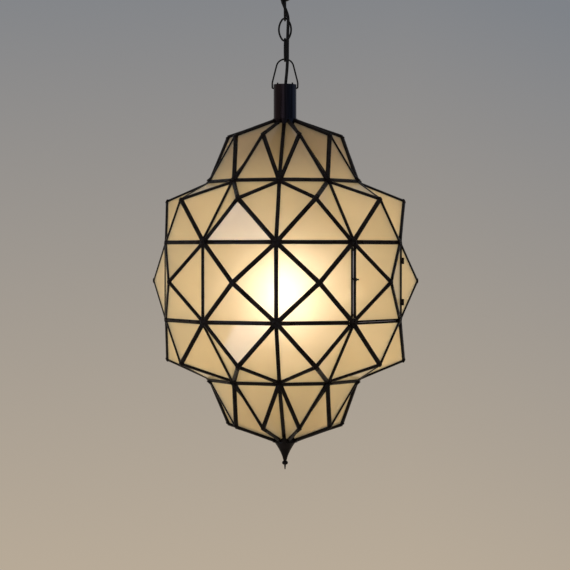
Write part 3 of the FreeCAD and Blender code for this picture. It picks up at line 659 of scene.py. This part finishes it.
def seam_bead(bm, points, half_width):
    # A bead over the fold between two panes, sunk on a ridge and raised in a valley
    start, end, left, right = points
    along = (end - start).normalized()
    normals = [facet_normal(start, end, far) for far in (left, right)]
    outward = (normals[0] + normals[1]).normalized()
    half_bend = normals[0].angle(normals[1]) / 2
    is_ridge = (left - start).dot(normals[1]) < 0
    peak = GLASS_HALF / math.cos(half_bend)
    slope = math.tan(half_bend) * half_width
    middle = peak - RIDGE_SINK * slope if is_ridge else peak + VALLEY_RISE * slope
    crown = BEAD_CROWN + RIDGE_SINK * slope if is_ridge else VALLEY_CROWN
    lift = outward * middle
    root = middle + peak + INNER_CROWN
    bead(bm, start + lift, end + lift, along.cross(outward), outward, half_width, crown, root)


def trim(start, end, cut):
    start = start.lerp(end, cut / (end - start).length)
    end = end.lerp(start, cut / (end - start).length)
    return start, end


def strip_bead(bm, start, end, far, half_width, half_gap):
    # Half of a seam that is split at the door's edge, on one side's glass
    along = (end - start).normalized()
    normal = facet_normal(start, end, far)
    side = far - start
    inward = (side - along * side.dot(along)).normalized()
    lift = inward * (half_gap + half_width) + normal * GLASS_HALF
    start, end = trim(start, end, DOOR_TRIM)
    bead(bm, start + lift, end + lift, inward, normal, half_width, BEAD_CROWN, 2 * GLASS_HALF + BEAD_CROWN)


def seam_axes(points):
    # Outward and crosswise directions of a seam
    start, end, left, right = points
    outward = (facet_normal(start, end, left) + facet_normal(start, end, right)).normalized()
    return outward, (end - start).normalized().cross(outward)


def stop_bead(bm, points):
    # A rebate behind the door's gap, so that no light comes straight through
    outward, across = seam_axes(points)
    lift = outward * -STOP_DEPTH
    bead(bm, points[0] + lift, points[1] + lift, across, outward, STOP_HALF, STOP_CROWN, STOP_CROWN)


def tongue_bead(bm, points, half_width):
    # A pale lead strip in the gap, a painted highlight line between the two halves of the seam
    outward, across = seam_axes(points)
    lift = outward * (GLASS_HALF - TONGUE_DROP)
    start, end = trim(points[0], points[1], TONGUE_TRIM)
    root = STOP_DEPTH + GLASS_HALF
    bead(bm, start + lift, end + lift, across, outward, half_width, TONGUE_CROWN, root, end_swell=0.0)


def split_seam(body, door, tongue, points, door_on_right, strip, tongue_half):
    # A seam that the door's edge parts, with a stop and a strip behind the gap
    start, end, left, right = points
    outside, inside = (left, right) if door_on_right else (right, left)
    stop_bead(body, points)
    tongue_bead(tongue, points, tongue_half)
    strip_bead(body, start, end, outside, *strip)
    strip_bead(door, start, end, inside, *strip)


def clear_of_door(names, cell, points):
    # Seams that run into a corner of the door stop under its solder
    share = DOOR_TRIM / (points[1] - points[0]).length
    trimmed = list(points)
    for end in (0, 1):
        name, step = names[end]
        if "frame" in name and (cell + step) % CELLS in DOOR_EDGES:
            trimmed[end] = points[end].lerp(points[1 - end], share)
    return trimmed


def solder_seams(node, group, body="lantern", cells=range(CELLS), upside_down=False):
    bm = bmesh.new()
    for cell in cells:
        for *names, half_width in SEAMS[group]:
            points = clear_of_door(names, cell, corners(names, cell, upside_down))
            if names[0][0] == "apex":
                radius = math.hypot(points[1].x, points[1].y)
                points[0] = points[0].lerp(points[1], FERRULE_SHARE * FERRULE_RADIUS / radius)
            seam_bead(bm, points, half_width)
    finish_piece(node + "_beads", bm, "solder", body, "solder", node)


def belt_and_door_seams():
    # Rails and uprights round the belt; at the latch and below the door a pale lead strip in the gap is a
    # painted highlight line
    rails, uprights, door, tongue = bmesh.new(), bmesh.new(), bmesh.new(), bmesh.new()
    for cell in range(CELLS):
        for upside_down in (False, True):
            points = corners(RAIL, cell, upside_down)
            if cell == DOOR_CELL:
                strip_piece = tongue if upside_down else rails
                split_seam(rails, door, strip_piece, points, True, RAIL_STRIP, RAIL_TONGUE)
            else:
                seam_bead(rails, clear_of_door(RAIL, cell, points), RING_HALF)
        points = corners(UPRIGHT, cell, False)
        if cell in DOOR_EDGES:
            at_latch = cell == DOOR_CELL
            strip_piece = tongue if at_latch else uprights
            split_seam(uprights, door, strip_piece, points, at_latch, UPRIGHT_STRIP, UPRIGHT_TONGUE)
        else:
            seam_bead(uprights, points, UPRIGHT_HALF)
    finish_piece("belt_ring_seams_beads", rails, "solder", "lantern", "solder", "belt_ring_seams")
    finish_piece("belt_upright_seams_beads", uprights, "solder", "lantern", "solder", "belt_upright_seams")
    finish_piece("door_frame_beads", door, "solder", "door", "solder", "door_frame")
    # Pale lead strip in the gap: a painted highlight line
    finish_piece("door_gap_highlight_strip", tongue, "lead", "lantern", "solder")


# Solder lumps
def lump(bm, centre, normal, radius, planes):
    # A pooled drop of solder, cut by planes where the door parts it
    across = normal.orthogonal().normalized()
    basis = Matrix((across * radius, normal.cross(across) * radius, normal * LUMP_HEIGHT)).transposed()
    part = bmesh.new()
    bmesh.ops.create_icosphere(part, subdivisions=2, radius=1,
                               matrix=Matrix.Translation(centre) @ basis.to_4x4())
    for vert in part.verts:
        depth = min(0, (vert.co - centre).dot(normal))
        vert.co += normal * (depth * (LUMP_ROOT / LUMP_HEIGHT - 1))
        vert.co += (vert.co - centre) * (LUMP_UNEVEN * noise.noise(vert.co * LUMP_NOISE))
    for point, direction in planes:
        whole = part.verts[:] + part.edges[:] + part.faces[:]
        cut = bmesh.ops.bisect_plane(part, geom=whole, plane_co=point, plane_no=direction, clear_outer=True)
        rim = [item for item in cut["geom_cut"] if isinstance(item, bmesh.types.BMEdge)]
        bmesh.ops.edgeloop_fill(part, edges=rim)
    bmesh.ops.recalc_face_normals(part, faces=part.faces)
    add_to(bm, part)


def corner_normal(name, step):
    radius, height, offset = RINGS[name]
    leaning = polar(radius, CELL_ANGLE * (step + offset), LUMP_LEAN * height)
    return (leaning - Vector((0, 0, BELT_Z))).normalized()


def corner_lump(bm, name, step, upside_down=False, planes=(), share=1.0):
    centre = corner(name, step)
    normal = corner_normal(name, step)
    if upside_down:
        centre = flip(centre)
        normal.z = -normal.z
    lump(bm, centre + normal * GLASS_HALF, normal, share * LUMP_RADIUS[name], planes)


def door_planes(inside):
    # Planes that part the door from the body, pointing away from what is kept
    half = DOOR_GAP / 2 if inside else -DOOR_GAP / 2
    sides = []
    for edge, way in zip(DOOR_EDGES, (1, -1)):
        turn = math.radians(CELL_ANGLE * edge)
        direction = Vector((math.cos(turn), math.sin(turn), 0)) * way
        sides.append((Vector((0, 0, BELT_Z)) + direction * half, -direction if inside else direction))
    rails = []
    frame_height = RINGS["frame"][1]
    for way in (1, -1):
        point = Vector((0, 0, BELT_Z + way * (frame_height - half)))
        rails.append((point, UP * (way if inside else -way)))
    return sides, rails


def solder_lumps():
    for node, upside_down in (("upper_solder_joints", False), ("lower_solder_joints", True)):
        bm = bmesh.new()
        for cell in range(CELLS):
            for name in ("star", "waist", "shoulder"):
                corner_lump(bm, name, cell, upside_down)
        finish_piece(node + "_drops", bm, "solder", "lantern", "solder", node)
    body = bmesh.new()
    door = bmesh.new()
    in_sides, in_rails = door_planes(True)
    out_sides, out_rails = door_planes(False)
    for cell in range(CELLS):
        corner_lump(door if cell == DOOR_CELL else body, "belt", cell)
        for row, upside_down in ((0, False), (1, True)):
            if cell in DOOR_EDGES:
                side = cell - DOOR_CELL
                for target, planes in ((body, (out_sides[side],)), (body, (out_rails[row],)),
                                       (door, (in_sides[side], in_rails[row]))):
                    corner_lump(target, "frame", cell, upside_down, planes, DOOR_LUMP_SHARE)
            else:
                corner_lump(body, "frame", cell, upside_down)
    finish_piece("belt_solder_joints_drops", body, "solder", "lantern", "solder", "belt_solder_joints")
    finish_piece("door_solder_joints_drops", door, "solder", "door", "solder", "door_solder_joints")


# Cord: one smooth line, cut where its stretches change body
def line_curve(name, kind, points):
    curve = bpy.data.curves.new(name, "CURVE")
    curve.dimensions = "3D"
    curve.resolution_u = CORD_STEPS
    spline = curve.splines.new(kind)
    spline.points.add(len(points) - 1)
    for target, point in zip(spline.points, points):
        target.co = (*point, 1)
    return curve, spline


def mesh_of(curve):
    # The mesh of a curve, which goes once it is made
    guide = bpy.data.objects.new(curve.name + "_guide", curve)
    mesh = bpy.data.meshes.new_from_object(guide)
    bpy.data.objects.remove(guide)
    bpy.data.curves.remove(curve)
    return mesh


def route_points():
    route = [(x, y, PIN_Z + height) for x, y, height in CORD_POINTS]
    curve, spline = line_curve("cord_route", "NURBS", route)
    spline.order_u = CORD_ORDER
    spline.use_endpoint_u = True
    mesh = mesh_of(curve)
    points = [vert.co.copy() for vert in mesh.vertices]
    bpy.data.meshes.remove(mesh)
    return points


def between(points, low, high):
    # The part of a rising line between two heights, with its ends cut level
    kept = []
    for before, after in zip(points, points[1:]):
        for height in (low, high):
            if (before.z - height) * (after.z - height) < 0:
                kept.append(before.lerp(after, (height - before.z) / (after.z - before.z)))
        if low < after.z < high:
            kept.append(after)
    if low <= points[0].z:
        kept.insert(0, points[0])
    if points[-1].z <= high:
        kept.append(points[-1])
    return sorted(kept, key=lambda point: point.z)


def cord_tube(name, points):
    curve = line_curve(name, "POLY", points)[0]
    curve.bevel_depth = CORD_DIAMETER / 2
    curve.bevel_resolution = CORD_ROUNDING
    curve.use_fill_caps = True
    mesh = mesh_of(curve)
    mesh.name = name
    mesh.materials.clear()
    mesh.materials.append(FINISH["cord"])
    smooth(mesh, True)
    return add_object(name, mesh)


def cords():
    points = route_points()
    for node, upper_body, lower_body in CORD_STRETCHES:
        low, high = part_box(node)
        run = between(points, low[2], high[2])
        piece = cord_tube(node + "_sheath", run)
        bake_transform(piece)
        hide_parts(node)


# Stage, light and camera
def stage():
    bm = bmesh.new()
    level = cad_box[0][2] - FLOOR_DROP
    bmesh.ops.create_circle(bm, cap_ends=True, segments=FLOOR_SIDES, radius=FLOOR_RADIUS,
                            matrix=Matrix.Translation((0, 0, level)))
    mesh = bpy.data.meshes.new("floor")
    bm.to_mesh(mesh)
    bm.free()
    material, tree, shader = start_material("pale_floor")
    mask = place_mottle(tree, cloud=3.0, ripple=40.0)[0]
    seen = tree.nodes.new("ShaderNodeLightPath").outputs["Is Camera Ray"]
    lift = two_tones(tree, seen, ((0.0, 0.0, 0.0), FLOOR_LIFT))
    fade = spread(tree, reach_from(tree, object_place(tree), level), FLOOR_FADE, FLOOR_RADIUS, 1.0, 0.0)
    set_inputs(tree, shader, Base_Color=two_tones(tree, mask, FLOOR_TONES), Roughness=0.8,
               Emission_Color=lift, Emission_Strength=1.0, Alpha=fade)
    mesh.materials.append(material)
    floor = add_object("floor", mesh)


def face_axis(item, place, aim=0.0, roll=0.0):
    # A lamp or the camera stands at a place and looks at a height on the axis
    item.location = place
    towards = Vector((0, 0, BELT_Z + aim)) - place
    turned = towards.to_track_quat("-Z", "Y") @ Quaternion(UP, math.radians(roll))
    item.rotation_euler = turned.to_euler()


def softbox(name, angle, rise, roll, distance, width, height, power, tint):
    light = bpy.data.lights.new(name, "AREA")
    light.shape = "RECTANGLE"
    light.size = width
    light.size_y = height
    light.energy = power
    light.color = tint
    lift = math.radians(rise)
    place = polar(distance * math.cos(lift), angle, distance * math.sin(lift))
    face_axis(add_object(name, light), place, roll=roll)


def world():
    place = bpy.data.worlds.new("studio")
    place.use_nodes = True
    tree = place.node_tree
    backdrop = tree.nodes["Background"]
    way = tree.nodes.new("ShaderNodeTexCoord").outputs["Generated"]
    parts = add_node(tree, "ShaderNodeSeparateXYZ", Vector=way).outputs
    slant = math_node(tree, "MULTIPLY", math_node(tree, "MAXIMUM", parts["X"], 0.0), BACKDROP_SLANT)
    mask = spread(tree, math_node(tree, "ADD", parts["Z"], slant), *BACKDROP_RISE, 0.0, 1.0)
    set_inputs(tree, backdrop, Color=two_tones(tree, mask, BACKDROP_TONES))
    ambient = add_node(tree, "ShaderNodeBackground", Color=shade(*AMBIENT_TONE), Strength=AMBIENT_STRENGTH)
    rays = tree.nodes.new("ShaderNodeLightPath").outputs
    seen = math_node(tree, "MAXIMUM", rays["Is Camera Ray"], rays["Is Glossy Ray"])
    seen = math_node(tree, "MAXIMUM", seen, rays["Is Transmission Ray"])
    mix = tree.nodes.new("ShaderNodeMixShader")
    for socket, value in zip(mix.inputs, (seen, ambient.outputs[0], backdrop.outputs[0])):
        feed(tree, socket, value)
    set_inputs(tree, tree.nodes["World Output"], Surface=mix.outputs[0])
    bpy.context.scene.world = place


def camera():
    data = bpy.data.cameras.new("camera")
    data.lens = LENS
    data.sensor_width = SENSOR
    data.sensor_fit = "HORIZONTAL"
    view = add_object("camera", data)
    face_axis(view, polar(VIEW_DISTANCE, VIEW_TURN, VIEW_RISE), VIEW_AIM)
    bpy.context.scene.camera = view


HALVES = (("upper", False), ("lower", True))
camera()
cords()
dress_nodes()
for half, is_low in HALVES:
    for group in ("crown", "shoulder"):
        panes(f"{half}_{group}_panes", group, upside_down=is_low)
panes("belt_panes", "belt", cells=BODY_CELLS)
panes("door_panes", "belt", "door", [DOOR_CELL])
for half, is_low in HALVES:
    for group in ("crown", "star", "shoulder"):
        solder_seams(f"{half}_{group}_seams", group, upside_down=is_low)
solder_seams("belt_ridge_seams", "belt", cells=BODY_CELLS)
belt_and_door_seams()
solder_seams("door_ridge_seams", "belt", "door", [DOOR_CELL])
solder_lumps()
stage()
for name, settings in LAMPS.items():
    softbox(name, **settings)
world()
bpy.context.scene.view_settings.view_transform = "Standard"
